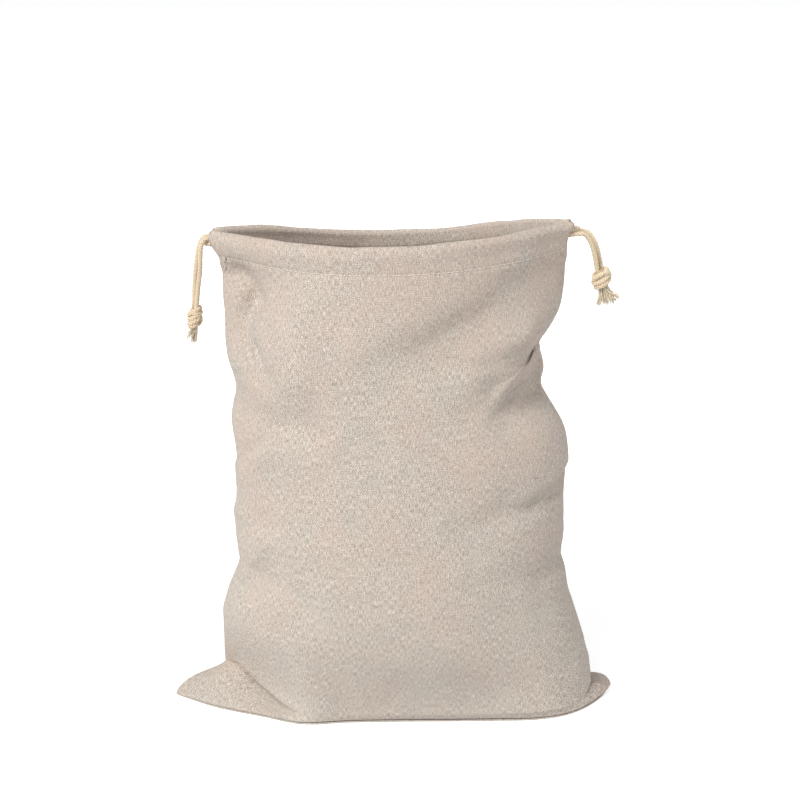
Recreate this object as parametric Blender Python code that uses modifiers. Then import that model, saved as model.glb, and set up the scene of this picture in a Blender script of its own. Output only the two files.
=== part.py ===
"""Cotton drawstring bag, standing open and filled out, as one sewn bag with two drawstrings.

Two panels of plain cloth are joined at both sides and along the bottom. Each panel turns over at the
mouth into a casing, and each of the two drawstrings runs right round through both casings and is knotted
outside one end of the mouth. X runs across the bag, Y from front to back and Z up, in metres; the floor
is Z = 0 and the bag stands over the origin.
"""

import math

import bmesh
import bpy
import numpy as np
from mathutils import Matrix, Vector

MM = 0.001

# Driving sizes
CLOTH = 1.0 * MM  # thickness of the panels' solids
LAYER_GAP = 0.7 * MM  # between two layers of cloth that lie together
HEM_GAP = 0.8 * MM  # between the casing's two layers at its stitches
BODY_HEIGHT = 325 * MM  # the height that the table of widths counts to
CASING_DEPTH = 17.5 * MM  # from the top fold to the line of stitches
CASING_THICK = 6 * MM  # between the casing's two layers, middle to middle
SLIT_DEPTH = 34 * MM  # how far the side seams stop below the top fold
SLIT_HALF_WIDTH = 9.5 * MM
CORD = 3.2 * MM  # diameter of the drawstrings
UPPER_CORD_DEPTH = 5.0 * MM  # below the top fold, the drawstring knotted at the left
LOWER_CORD_DEPTH = 8.8 * MM  # and the one knotted at the right

# The rim: height of the top fold at the left end, the middle and the right end
RIM_LEFT, RIM_RIGHT = 325 * MM, 331 * MM
RIM_MIDDLE = {"front": 322.5 * MM, "back": 316 * MM}
RIM_SAG_SHAPE = {"front": 1.2, "back": 2.2}

# How wide the bag stands at each height: height, left side, right side, in millimetres
WIDTHS = [
    (0, -119.5, 137.0),
    (15, -119.0, 134.5),
    (26, -118.0, 130.0),
    (40, -117.5, 126.5),
    (52, -117.0, 123.5),
    (61, -114.5, 121.0),
    (71, -112.0, 118.0),
    (81, -108.5, 116.5),
    (90, -105.0, 115.0),
    (98, -105.5, 113.0),
    (112, -107.0, 115.0),
    (124, -109.0, 115.0),
    (136, -106.5, 114.5),
    (158, -106.0, 115.5),
    (175, -107.0, 115.5),
    (186, -108.5, 113.5),
    (195, -109.0, 109.5),
    (205, -107.5, 103.5),
    (215, -105.5, 98.5),
    (227, -107.5, 100.0),
    (235, -110.0, 98.5),
    (245, -111.5, 95.5),
    (251, -112.0, 99.5),
    (258, -112.0, 104.5),
    (266, -112.0, 108.5),
    (280, -113.0, 111.5),
    (300, -113.5, 112.5),
    (308, -114.0, 112.0),
    (315, -118.0, 112.5),
    (320, -120.0, 115.0),
    (325, -119.0, 119.0),
]

# How deep it stands: height, front, back, in millimetres, and how pinched the section's ends are
DEPTHS = [
    (0, 58, 60, 0.85),
    (40, 72, 72, 0.85),
    (80, 75, 76, 0.88),
    (140, 74.5, 76, 0.90),
    (200, 71, 74, 0.95),
    (250, 69, 70, 1.05),
    (285, 67, 67, 1.50),
    (325, 66, 64, 2.40),
]

# The foot, in millimetres, from the left side seam (-1) to the right one (1): the bottom seam, the line
# where the front leaves the floor or the flat corner, and the line where the back leaves the floor
FOOT = [
    # across, seam x, seam y, front x, front y, front z, back x, back y, back z
    (-1.00, -152, -5, -119.5, 17, 15, -119.5, 17, 15),
    (-0.80, -122, -25.5, -108, 3, 22, -112, 40, 2.5),
    (-0.60, -90, -40, -90, -15, 12, -92, 50, 0.5),
    (-0.42, -61, -52.5, -61, -50, 6, -66, 52, 0.5),
    (-0.25, -32, -50, -32, -51.5, 7, -33, 51, 0.5),
    (-0.06, 0, -48.5, 0, -51, 7, 0, 50, 0.5),
    (0.33, 66, -47, 66, -49.5, 7, 60, 50, 0.5),
    (0.51, 97, -45, 97, -47, 7, 88, 48, 0.5),
    (0.61, 113, -40, 113, -41, 7, 103, 44, 0.5),
    (0.71, 127, -30, 126, -29, 8, 116, 38, 0.5),
    (0.84, 142, -11, 134, -10, 8, 127, 27, 2.5),
    (1.00, 152.3, 10, 137, 15, 9.5, 137, 15, 9.5),
]
EAR_SWELL = {-1: (-7, 3), 1: (4, 6)}  # how far each flat corner's outer edge bows out, x and y
BACK_TUCK = 1.7 * MM  # how far the back's edge lies inside the front's at the foot of each side seam
TUCK_TOP = 75 * MM  # the height by which that tuck has ended
LAP_TOP = 16 * MM  # and the height by which the layers no longer lie on each other
FOOT_BLEND = 85 * MM  # the height by which the foot's outline has become the body's section
FOOT_POWER = {"front": 2.2, "back": 3.2}
SEAM_POWER = 2.4

# Soft folds, in millimetres: panel, start (x, z), end (x, z), depth at start and end, half width
FOLDS = [
    ("front", 97, 246, 66, 229, 9.0, 3.5, 8.0),
    ("front", 66, 229, 50, 219, 3.5, 1.5, 11.0),
    ("front", 84, 262, 52, 246, -4.0, -1.5, 11.0),
    ("front", 99, 221, 84, 218, 4.0, 1.5, 7.0),
    ("front", 112, 158, 88, 150, 5.0, 2.0, 6.5),
    ("front", 48, 144, 71, 151, 2.0, 3.0, 13.0),
    ("front", 110, 106, 96, 100, 3.0, 1.0, 7.0),
    ("front", -101, 298, -94, 285, 4.5, 5.0, 8.0),
    ("front", -97, 280, -103, 262, 5.0, 4.5, 7.0),
    ("front", -98, 250, -84, 233, 5.0, 3.5, 8.0),
    ("front", 10, 274, -22, 250, 3.0, 4.5, 15.0),
    ("front", -97, 209, -60, 207, 4.0, 2.5, 12.0),
    ("front", -86, 102, -104, 90, 2.0, 5.0, 9.0),
    ("back", 94, 240, 52, 206, 8.0, 2.5, 11.0),
    ("back", 88, 222, 40, 232, 4.0, 3.0, 12.0),
    ("back", -92, 250, -48, 214, 5.0, 3.0, 12.0),
    ("back", -104, 96, -58, 120, 5.0, 2.5, 12.0),
    ("back", 0, 282, 14, 226, 3.5, 4.0, 14.0),
    ("back", 104, 92, 62, 70, 4.5, 2.5, 12.0),
]

SEAM_STILL = 0.09  # the share of half a panel, at each side seam, over which the folds fade out

# Steps of the panels' grids
COLUMNS = 28
EAR_ROWS = {"front": 4, "back": 6}
BODY_STATIONS = (0, 8, 18, 30, 42, 54, 66, 78, 90, 102, 116, 132, 148, 164, 180,
                 193, 205, 216, 227, 238, 247, 256, 266, 278, 291)  # millimetres up
CASING_SHARES = (1.17, 1, 0.75, 0.55, 0.37)  # of the casing's depth, below the top fold
TOP_FOLD_STEPS = 4

# Free ends of the drawstrings, in millimetres, from the casing's end to the knot: the front's, the back's
FREE_ENDS = {
    "left": (
        [(-122.8, -7.4, 319.7), (-125.2, -9.2, 316.0), (-125.9, -9.2, 309.0),
         (-126.6, -7.6, 299.0), (-128.4, -4.8, 288.0), (-130.0, -1.9, 276.2)],
        [(-123.4, 7.4, 320.0), (-127.2, 9.0, 317.0), (-129.6, 8.8, 309.8),
         (-130.9, 7.0, 300.6), (-131.9, 4.6, 289.4), (-132.4, 1.9, 276.2)],
    ),
    "right": (
        [(122.4, -6.9, 323.4), (126.2, -6.3, 320.2), (129.2, -4.9, 314.2),
         (131.1, -3.3, 307.1), (132.6, -1.9, 300.2)],
        [(123.2, 6.8, 323.6), (128.4, 6.2, 321.6), (132.2, 4.9, 315.7),
         (134.5, 3.3, 308.1), (136.0, 1.9, 300.4)],
    ),
}
CORD_STATIONS = 17  # points of a drawstring along each casing
CORD_STEP = 5.5 * MM  # between its points on the free ends
TURN_REACH = 6.6 * MM  # how far a drawstring's turn stands out past the casing's end

# The knots and the frayed ends below them, in millimetres: middle of the top face, height, greatest
# radius, and how many degrees they lean towards the front and towards the right
KNOTS = {
    "left": {"top": (-131.3, 0, 275.5), "height": 16.0, "radius": 5.2, "lean": (2, -3)},
    "right": {"top": (134.6, 0, 299.5), "height": 13.0, "radius": 7.0, "lean": (2, 14)},
}
KNOT_TOP_RADIUS = 4.3
FRAYS = {
    "left": {"strands": 16, "length": 8.5, "spread": 2.6, "root": 2.4, "drift": (-2.2, 0)},
    "right": {"strands": 30, "length": 13.0, "spread": 8.0, "root": 3.4, "drift": (-0.5, 0)},
}
FRAY_HEAD = 3.2
STRAND_RADIUS = 0.62

LINEN = (0.62, 0.55, 0.47)
COTTON = (0.80, 0.70, 0.53)


def smooth(x):
    """A step from 0 to 1 with level ends."""
    x = np.clip(x, 0, 1)
    return x * x * (3 - 2 * x)


def table_curve(table, column, at):
    """A smooth curve through one column of a table, read at the values given."""
    rows = np.array(table, float)
    xs, ys = rows[:, 0], rows[:, column]
    slopes = np.gradient(ys, xs)
    at = np.clip(at, xs[0], xs[-1])
    i = np.clip(np.searchsorted(xs, at) - 1, 0, len(xs) - 2)
    step = xs[i + 1] - xs[i]
    t = (at - xs[i]) / step
    return (
        (1 + 2 * t) * (1 - t) ** 2 * ys[i]
        + t * (1 - t) ** 2 * step * slopes[i]
        + t * t * (3 - 2 * t) * ys[i + 1]
        + t * t * (t - 1) * step * slopes[i + 1]
    )


def rim_height(side, across):
    """The height of the top fold: a shallow sag between the ends of the mouth."""
    ends = RIM_LEFT + (RIM_RIGHT - RIM_LEFT) * (across + 1) / 2
    middle = RIM_MIDDLE[side] - (RIM_LEFT + RIM_RIGHT) / 2
    return ends + middle * (1 - across**2) ** RIM_SAG_SHAPE[side]


def slit(station):
    """Half the gap between the two panels at a side: nearly closed, and open beside the casings."""
    low = 0.25 * MM + 0.35 * MM * np.clip(1 - station / FOOT_BLEND, 0, 1)
    top = smooth((station - (BODY_HEIGHT - SLIT_DEPTH)) / (SLIT_DEPTH - 12 * MM))
    return low + (SLIT_HALF_WIDTH - low) * top


def section(side, station, across):
    """Points of half a level section through the filled body, evenly spaced along the cloth."""
    left, right = (table_curve(WIDTHS, k, station / MM) * MM for k in (1, 2))
    deep = table_curve(DEPTHS, 1 if side == "front" else 2, station / MM) * MM
    pinch = table_curve(DEPTHS, 3, station / MM)
    gap = slit(station)
    turn = np.linspace(-math.pi / 2, math.pi / 2, 241)
    x = (left + right) / 2 + (right - left) / 2 * np.sin(turn)
    y = gap + (deep - gap) * np.cos(turn).clip(0) ** pinch
    along = np.concatenate([[0], np.cumsum(np.hypot(np.diff(x), np.diff(y)))])
    wanted = (across + 1) / 2 * along[-1]
    forward = -1 if side == "front" else 1
    return np.interp(wanted, along, x), forward * np.interp(wanted, along, y)


def fold_depth(side, x, z):
    """How far the soft folds draw the cloth in at a place seen from the front."""
    total = np.zeros_like(x)
    for panel, x0, z0, x1, z1, deep0, deep1, half in FOLDS:
        if panel != side:
            continue
        start, run = np.array([x0, z0]) * MM, np.array([x1 - x0, z1 - z0]) * MM
        t = np.clip(((x - start[0]) * run[0] + (z - start[1]) * run[1]) / (run @ run), 0, 1)
        away = np.hypot(x - start[0] - t * run[0], z - start[1] - t * run[1])
        total += (deep0 + (deep1 - deep0) * t) * MM * np.exp(-((away / (half * MM)) ** 2))
    return total


def body_row(side, station, across):
    """One row of cloth on the standing body: its points, and the level direction into the bag."""
    x, y = section(side, station, across)
    first = 3 if side == "front" else 6
    foot = np.stack([table_curve(FOOT, first + k, across) * MM for k in range(3)], axis=1)
    foot[:, 2] = foot[:, 2].clip(CLOTH / 2)
    power = FOOT_POWER[side] + (SEAM_POWER - FOOT_POWER[side]) * np.abs(across) ** 6
    weight = np.clip(1 - station / FOOT_BLEND, 0, 1) ** power
    edge = np.abs(across) ** 12
    x = weight * foot[:, 0] + (1 - weight) * x
    y = weight * foot[:, 1] + (1 - weight) * y + weight * edge * math.copysign(slit(0), y[0])
    z = foot[:, 2] + (rim_height(side, across) - foot[:, 2]) * station / BODY_HEIGHT
    if side == "back":
        x -= np.sign(across) * edge * BACK_TUCK * smooth((TUCK_TOP - station) / (TUCK_TOP / 2))
        z -= edge * (CLOTH + LAYER_GAP) * smooth(1 - station / LAP_TOP)
    tangent = np.stack([np.gradient(x), np.gradient(y)], axis=1)
    tangent /= np.linalg.norm(tangent, axis=1, keepdims=True)
    turn = 1 if side == "front" else -1
    inward = np.stack([-tangent[:, 1] * turn, tangent[:, 0] * turn, np.zeros(len(x))], axis=1)
    points = np.stack([x, y, z], axis=1)
    depth = fold_depth(side, x, z) * smooth((1 - np.abs(across)) / SEAM_STILL)
    return points + inward * depth[:, None], inward


def foot_rows(side, across):
    """The cloth below the body: the front's flat corners and lip, or the back's base on the floor."""
    seam_z = CLOTH / 2 + (CLOTH + LAYER_GAP if side == "front" else 0)
    seam = np.stack([table_curve(FOOT, k, across) * MM for k in (1, 2)] + [np.full_like(across, seam_z)],
                    axis=1)
    edge = np.abs(across) ** 12
    if side == "back":
        seam[:, 0] -= np.sign(across) * edge * BACK_TUCK
    top = body_row(side, 0, across)[0]
    swell = np.zeros_like(seam)
    for end, (out_x, out_y) in EAR_SWELL.items():
        swell[:, :2] += np.outer(np.where(across * end > 0, np.abs(across) ** 3, 0), (out_x, out_y)) * MM
    steps = np.linspace(0, 1, EAR_ROWS[side] + 1)[:-1]
    return [seam + (top - seam) * step + swell * 4 * step * (1 - step) for step in steps]


def casing_offset(below):
    """How far the casing's inner layer stands from its outer one, at a depth below the top fold."""
    closed = CLOTH + HEM_GAP
    return closed + (CASING_THICK - closed) * smooth((CASING_DEPTH - below) / (8 * MM))


def hem_rows(side, across):
    """The cloth from the top fold down inside the casing to the end of the hem."""
    radius = CASING_THICK / 2
    below = (BODY_HEIGHT - radius) / BODY_HEIGHT
    top, inward = body_row(side, BODY_HEIGHT * below, across)
    rows = []
    for step in range(1, TOP_FOLD_STEPS):
        angle = math.pi * step / TOP_FOLD_STEPS
        rise = np.array([0, 0, radius * math.sin(angle)])
        rows.append(top + inward * radius * (1 - math.cos(angle)) + rise)
    rows.append(top + inward * CASING_THICK)
    for share in reversed(CASING_SHARES):
        depth = share * CASING_DEPTH
        points, inward = body_row(side, BODY_HEIGHT - depth, across)
        rows.append(points + inward * casing_offset(depth))
    return rows


def panel_rows(side, across):
    """Every row of one panel, from the bottom seam over the top fold to the hem's inner edge."""
    stations = [height * MM for height in BODY_STATIONS]
    stations += [BODY_HEIGHT - share * CASING_DEPTH for share in CASING_SHARES]
    stations.append(BODY_HEIGHT - CASING_THICK / 2)
    body = [body_row(side, station, across)[0] for station in stations]
    return foot_rows(side, across) + body + hem_rows(side, across)


def material(name, colour, roughness):
    """A plain Principled material."""
    made = bpy.data.materials.new(name)
    made.use_nodes = True
    shader = made.node_tree.nodes["Principled BSDF"]
    shader.inputs["Base Color"].default_value = (*colour, 1)
    shader.inputs["Roughness"].default_value = roughness
    shader.inputs["Metallic"].default_value = 0
    return made


def add_object(name, data, collection, finish):
    """Links a new object that shows its data in one material."""
    made = bpy.data.objects.new(name, data)
    data.materials.append(finish)
    collection.objects.link(made)
    return made


def add_panel(side, collection, finish):
    """One panel: a flat grid laid on the bag's form, then given the cloth's thickness."""
    across = np.sin(np.linspace(-1, 1, COLUMNS + 1) * 0.45 * math.pi) / math.sin(0.45 * math.pi)
    across = 0.55 * np.linspace(-1, 1, COLUMNS + 1) + 0.45 * across
    rows = np.array(panel_rows(side, across))
    form = bmesh.new()
    bmesh.ops.create_grid(form, x_segments=COLUMNS, y_segments=len(rows) - 1, size=1)
    for vertex in form.verts:
        column = round((vertex.co.x + 1) / 2 * COLUMNS)
        row = round((vertex.co.y + 1) / 2 * (len(rows) - 1))
        vertex.co = rows[row, column]
    if side == "back":
        bmesh.ops.reverse_faces(form, faces=form.faces)
    mesh = bpy.data.meshes.new(f"{side}_panel")
    form.to_mesh(mesh)
    form.free()
    mesh.shade_smooth()
    panel = add_object(f"{side}_panel", mesh, collection, finish)
    cloth = panel.modifiers.new("cloth", "SOLIDIFY")
    cloth.thickness = CLOTH
    cloth.offset = 0
    cloth.use_even_offset = True
    cloth.use_quality_normals = True
    return panel


def casing_run(side, depth, across):
    """Where a drawstring runs inside one casing: midway between its two layers."""
    points, inward = body_row(side, BODY_HEIGHT - depth, across)
    return points + inward * CASING_THICK / 2


def turn_points(start, end, reach):
    """A half turn of cord from one casing's end to the other's, standing out sideways."""
    middle, half = (start + end) / 2, (end - start) / 2
    angles = np.linspace(0, math.pi, 6)[1:-1]
    out = np.array([reach, 0, 0])
    return [middle - half * math.cos(a) + out * math.sin(a) for a in angles]


def smooth_line(points, spacing):
    """A smooth curve through the points, read again at even steps."""
    points = np.array(points, float)
    padded = np.concatenate([[2 * points[0] - points[1]], points, [2 * points[-1] - points[-2]]])
    line = []
    for i in range(len(points) - 1):
        a, b, c, d = padded[i : i + 4]
        for t in np.linspace(0, 1, 12, endpoint=False):
            line.append(0.5 * (2 * b + (c - a) * t + (2 * a - 5 * b + 4 * c - d) * t**2
                               + (3 * b - 3 * c + d - a) * t**3))
    line = np.array(line + [points[-1]])
    along = np.concatenate([[0], np.cumsum(np.linalg.norm(np.diff(line, axis=0), axis=1))])
    at = np.linspace(0, along[-1], round(along[-1] / spacing) + 1)
    return np.stack([np.interp(at, along, line[:, k]) for k in range(3)], axis=1)


def drawstring_route(tied):
    """The whole line of a drawstring: out of one side of its knot, round the mouth and back to it."""
    depth = UPPER_CORD_DEPTH if tied == "left" else LOWER_CORD_DEPTH
    far = 1 if tied == "left" else -1
    across = np.linspace(-1, 1, CORD_STATIONS)
    front, back = (casing_run(side, depth, across)[::far] for side in ("front", "back"))
    turn = turn_points(front[-1], back[-1], far * TURN_REACH)
    front_end, back_end = (np.array(points) * MM for points in FREE_ENDS[tied])
    start = smooth_line([*front_end[::-1], front[0]], CORD_STEP)
    finish = smooth_line([back[0], *back_end], CORD_STEP)
    return [*start[:-1], *front, *turn, *back[::-1], *finish[1:]]


def add_drawstring(tied, collection, finish):
    """One drawstring, as a round cord along its route."""
    route = drawstring_route(tied)
    curve = bpy.data.curves.new(f"drawstring_{tied}", "CURVE")
    curve.dimensions = "3D"
    line = curve.splines.new("POLY")
    line.points.add(len(route) - 1)
    for point, place in zip(line.points, route):
        point.co = (*place, 1)
    curve.bevel_depth = CORD / 2
    curve.bevel_resolution = 2
    curve.use_fill_caps = True
    return add_object(f"drawstring_{tied}", curve, collection, finish)


def join_all(target, cutters, hidden):
    """Unites the target with each of the other shapes, which stay as hidden guides."""
    for shape in cutters:
        shape.hide_render = True
        shape.display_type = "WIRE"
        hidden.objects.link(shape)
        union = target.modifiers.new(shape.name, "BOOLEAN")
        union.operation = "UNION"
        union.object = shape


def mesh_object(name, form):
    """An object made from a bmesh."""
    mesh = bpy.data.meshes.new(name)
    form.to_mesh(mesh)
    form.free()
    return bpy.data.objects.new(name, mesh)


def knot_place(side):
    """The knot's frame: its origin at the middle of the top face, leaning as the cords hang."""
    facts = KNOTS[side]
    to_front, to_right = (math.radians(angle) for angle in facts["lean"])
    turn = Matrix.Rotation(-to_right, 4, "Y") @ Matrix.Rotation(to_front, 4, "X")
    return Matrix.Translation(Vector(facts["top"]) * MM) @ turn


def add_knot(side, collection, hidden, finish):
    """An overhand knot of both cord ends: a turned core with two crossing wraps round it."""
    facts = KNOTS[side]
    height, radius = facts["height"] * MM, facts["radius"] * MM
    profile = bpy.data.meshes.new(f"knot_{side}")
    steps = np.linspace(0, 1, 9)
    waist = KNOT_TOP_RADIUS * MM + (radius * 0.86 - KNOT_TOP_RADIUS * MM) * np.sin(math.pi * steps)
    points = [(0, 0, 0)] + [(w, 0, -height * s) for w, s in zip(waist, steps)] + [(0, 0, -height)]
    profile.from_pydata(points, [(i, i + 1) for i in range(len(points) - 1)], [])
    knot = add_object(f"knot_{side}", profile, collection, finish)
    knot.matrix_world = knot_place(side)
    screw = knot.modifiers.new("turned", "SCREW")
    screw.steps = screw.render_steps = 18
    screw.use_merge_vertices = True
    screw.merge_threshold = 0.00002
    wraps = []
    for index, tilt in enumerate((24, -20)):
        bpy.ops.mesh.primitive_torus_add(
            major_segments=18, minor_segments=8, major_radius=radius - CORD * 0.5, minor_radius=CORD * 0.5)
        wrap = bpy.context.object
        wrap.name = f"wrap_{side}_{index}"
        for home in wrap.users_collection:
            home.objects.unlink(wrap)
        level = -height * (0.40 + 0.20 * index)
        wrap.matrix_world = (knot_place(side) @ Matrix.Translation((0, 0, level))
                             @ Matrix.Rotation(math.radians(tilt), 4, "Y"))
        wraps.append(wrap)
    join_all(knot, wraps, hidden)
    return knot


def add_fray(side, collection, hidden, finish):
    """The frayed end under a knot: loose strands that leave one short head."""
    facts, knot = FRAYS[side], KNOTS[side]
    head_form = bmesh.new()
    bmesh.ops.create_cone(head_form, cap_ends=True, segments=12, radius1=facts["root"] * 1.05 * MM,
                          radius2=facts["root"] * MM, depth=FRAY_HEAD * MM)
    head = mesh_object(f"frayed_end_{side}", head_form)
    head.data.materials.append(finish)
    collection.objects.link(head)
    place = knot_place(side) @ Matrix.Translation((0, 0, -(knot["height"] + 0.3 + FRAY_HEAD / 2) * MM))
    head.matrix_world = place
    strands = []
    for index in range(facts["strands"]):
        reach = math.sqrt((index + 0.5) / facts["strands"])
        angle = index * math.pi * (3 - math.sqrt(5))
        root = Vector((reach * math.cos(angle), reach * math.sin(angle), 0)) * (facts["root"] - 0.8) * MM
        tip = Vector((reach * math.cos(angle) * facts["spread"] + facts["drift"][0],
                      reach * math.sin(angle) * facts["spread"] * 0.7,
                      -facts["length"] * (1 - 0.22 * reach * (1 + math.sin(5 * angle)) / 2))) * MM
        form = bmesh.new()
        run = tip - root
        bmesh.ops.create_cone(form, cap_ends=True, segments=4, radius1=STRAND_RADIUS * MM,
                              radius2=STRAND_RADIUS * 0.6 * MM, depth=run.length)
        strand = mesh_object(f"strand_{side}_{index}", form)
        lie = run.to_track_quat("Z", "Y").to_matrix().to_4x4()
        strand.matrix_world = place @ Matrix.Translation((root + tip) / 2) @ lie
        strands.append(strand)
    join_all(head, strands, hidden)
    return head


def main():
    for old in list(bpy.data.objects):
        bpy.data.objects.remove(old)
    bag = bpy.data.collections.new("drawstring_bag")
    hidden = bpy.data.collections.new("guides")
    for collection in (bag, hidden):
        bpy.context.scene.collection.children.link(collection)
    linen = material("linen_cotton", LINEN, 0.9)
    cotton = material("cotton_cord", COTTON, 0.85)
    for side in ("front", "back"):
        add_panel(side, bag, linen)
    for side in ("left", "right"):
        add_drawstring(side, bag, cotton)
        add_knot(side, bag, hidden, cotton)
        add_fray(side, bag, hidden, cotton)


main()
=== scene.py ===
# %% [markdown]
# # A cotton drawstring bag
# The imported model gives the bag's solids: two panels, two drawstrings, their knots and frayed ends. This
# lesson dresses them. The cloth is worked out again from the same sizes on a much finer grid, which can show
# the weave, the seams, the casing and the stitches, and the cords are plaited strand by strand.

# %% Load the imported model
import math

import bpy
import numpy as np
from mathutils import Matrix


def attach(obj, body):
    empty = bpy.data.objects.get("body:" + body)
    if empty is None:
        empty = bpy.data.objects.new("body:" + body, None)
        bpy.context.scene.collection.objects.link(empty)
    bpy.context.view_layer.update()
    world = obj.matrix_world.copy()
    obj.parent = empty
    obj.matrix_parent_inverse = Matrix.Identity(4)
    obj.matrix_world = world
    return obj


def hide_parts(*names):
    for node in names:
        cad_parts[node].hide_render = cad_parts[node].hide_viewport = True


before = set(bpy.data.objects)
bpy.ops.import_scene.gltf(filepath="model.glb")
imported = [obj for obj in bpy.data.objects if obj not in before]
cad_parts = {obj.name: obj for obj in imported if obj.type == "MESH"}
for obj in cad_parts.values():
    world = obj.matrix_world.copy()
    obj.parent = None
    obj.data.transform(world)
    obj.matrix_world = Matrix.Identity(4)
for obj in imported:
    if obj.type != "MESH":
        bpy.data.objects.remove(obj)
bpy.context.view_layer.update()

MM = 0.001

# %% [markdown]
# ## The camera
# A product photo of a bag is taken with a long lens from a little above, so that the mouth just opens to the
# view. The camera looks along +Y and is tipped down, with no shift.

# %% Place the camera
CAMERA_PLACE = (0.0038, -1.06, 0.468)
CAMERA_TIP = math.radians(13.64)
CAMERA_LENS, SENSOR_WIDTH = 73.35, 36


def placed(name, data):
    """A new object in the scene, with this mesh, light or camera."""
    item = bpy.data.objects.new(name, data)
    bpy.context.scene.collection.objects.link(item)
    print("placed", name)
    return item


camera = placed("photo_camera", bpy.data.cameras.new("photo_camera"))
camera.data.lens = CAMERA_LENS
camera.data.sensor_width = SENSOR_WIDTH
camera.location = CAMERA_PLACE
camera.rotation_euler = (math.pi / 2 - CAMERA_TIP, 0, 0)
bpy.context.scene.camera = camera

# %% [markdown]
# ## Meshes from arrays
# Every new piece is a grid of points that numpy works out as a whole. One helper turns points, faces and
# UVs into an object at the origin. Another carries a small ring along many paths at once, which makes
# stitches, yarns and the strands of a plait.

# %% Helpers that make meshes


def add_piece(name, points, faces, uvs, finish, slot):
    """Makes an object from points (n, 3), faces (lists of indices) and a UV (n, 2) for each point."""
    mesh = bpy.data.meshes.new(name)
    mesh.from_pydata(np.asarray(points, float).tolist(), [], faces)
    mesh.shade_smooth()
    layer = mesh.uv_layers.new(name="cloth")
    corners = np.empty(len(mesh.loops), np.int32)
    mesh.loops.foreach_get("vertex_index", corners)
    layer.data.foreach_set("uv", np.asarray(uvs, np.float32)[corners].ravel())
    mesh.materials.append(finish)
    piece = placed(name, mesh)
    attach(piece, "root")
    return piece


def grid_faces(rows, columns):
    """The quads of a grid whose points are numbered row by row."""
    start = (np.arange(rows - 1)[:, None] * columns + np.arange(columns - 1)).ravel()
    return np.stack([start, start + 1, start + columns + 1, start + columns], axis=1).tolist()


def unit(vectors):
    """Vectors scaled to a length of one."""
    return vectors / np.maximum(np.linalg.norm(vectors, axis=-1, keepdims=True), 1e-12)


def distances(points, axis=0):
    """How far along a path, or along one direction of a grid, each of its points lies."""
    steps = np.diff(points, axis=axis, prepend=points.take([0], axis))
    return np.cumsum(np.linalg.norm(steps, axis=-1), axis=axis)


def read_at(at, along, points):
    """The points of a path, read at other distances along it."""
    return np.stack([np.interp(at, along, points[:, k]) for k in range(3)], axis=-1)


def tubes(paths, up, width, height, sides):
    """Closed tubes along paths (n, m, 3). A ring's points are path + width cos a across + height sin a up,
    where across is square to the path and to up. Width and height may change along the path."""
    count, steps = paths.shape[:2]
    tangent = unit(np.gradient(paths, axis=1))
    across = unit(np.cross(tangent, np.broadcast_to(up, paths.shape)))
    rise = np.cross(across, tangent)
    angle = np.arange(sides) * 2 * math.pi / sides
    wide = np.broadcast_to(width, (count, steps))[:, :, None, None]
    tall = np.broadcast_to(height, (count, steps))[:, :, None, None]
    cos, sin = np.cos(angle)[:, None], np.sin(angle)[:, None]
    points = paths[:, :, None] + wide * cos * across[:, :, None] + tall * sin * rise[:, :, None]
    side = np.arange(sides)
    nearby = (side + 1) % sides
    uvs = np.stack(np.broadcast_arrays(side / sides, distances(paths, 1)[:, :, None]), axis=-1)
    first = (np.arange(count)[:, None] * steps + np.arange(steps - 1)).reshape(-1, 1) * sides
    walls = np.stack(np.broadcast_arrays(first + side, first + sides + side,
                                         first + sides + nearby, first + nearby), axis=-1)
    start = np.arange(count)[:, None] * steps * sides + side
    end = start + (steps - 1) * sides
    faces = walls.reshape(-1, 4).tolist() + start.tolist() + end[:, ::-1].tolist()
    return points.reshape(-1, 3), faces, uvs.reshape(-1, 2)


def joined(parts):
    """Several (points, faces, uvs) as one."""
    points, faces, uvs, base = [], [], [], 0
    for part_points, part_faces, part_uvs in parts:
        points.append(part_points)
        uvs.append(part_uvs)
        faces += [[base + index for index in face] for face in part_faces]
        base += len(part_points)
    return np.concatenate(points), faces, np.concatenate(uvs)


def smooth(x):
    """A step from 0 to 1 with level ends."""
    x = np.clip(x, 0, 1)
    return x * x * (3 - 2 * x)


def bell(x, width):
    """A bell curve: e to the power -(x / width) squared."""
    return np.exp(-((x / width) ** 2))


def table_curve(table, column, at):
    """A smooth curve through one column of a table, read at the values given."""
    rows = np.array(table, float)
    xs, ys = rows[:, 0], rows[:, column]
    slopes = np.gradient(ys, xs)
    at = np.clip(at, xs[0], xs[-1])
    i = np.clip(np.searchsorted(xs, at) - 1, 0, len(xs) - 2)
    step = xs[i + 1] - xs[i]
    t = (at - xs[i]) / step
    return (
        (1 + 2 * t) * (1 - t) ** 2 * ys[i]
        + t * (1 - t) ** 2 * step * slopes[i]
        + t * t * (3 - 2 * t) * ys[i + 1]
        + t * t * (t - 1) * step * slopes[i + 1]
    )


def soft_noise(x, y, seed):
    """Smooth noise from -1 to 1 on a plane: random heights at whole numbers, with smooth steps between."""
    size = 64
    heights = np.random.default_rng(seed).uniform(-1, 1, (size, size))
    i, j = np.floor(x).astype(int), np.floor(y).astype(int)
    s, t = smooth(x - i), smooth(y - j)
    rows = [heights[i % size, k % size] * (1 - s) + heights[(i + 1) % size, k % size] * s for k in (j, j + 1)]
    return rows[0] * (1 - t) + rows[1] * t


# %% [markdown]
# ## Sums in a material
# Shader maths is easier to read as Python than as a web of Math nodes. `Value` wraps a socket, so that
# `1 - mask * 0.5` adds the nodes that it needs, and `Recipe.node` makes any other node.

# %% Helpers that make materials


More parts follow.
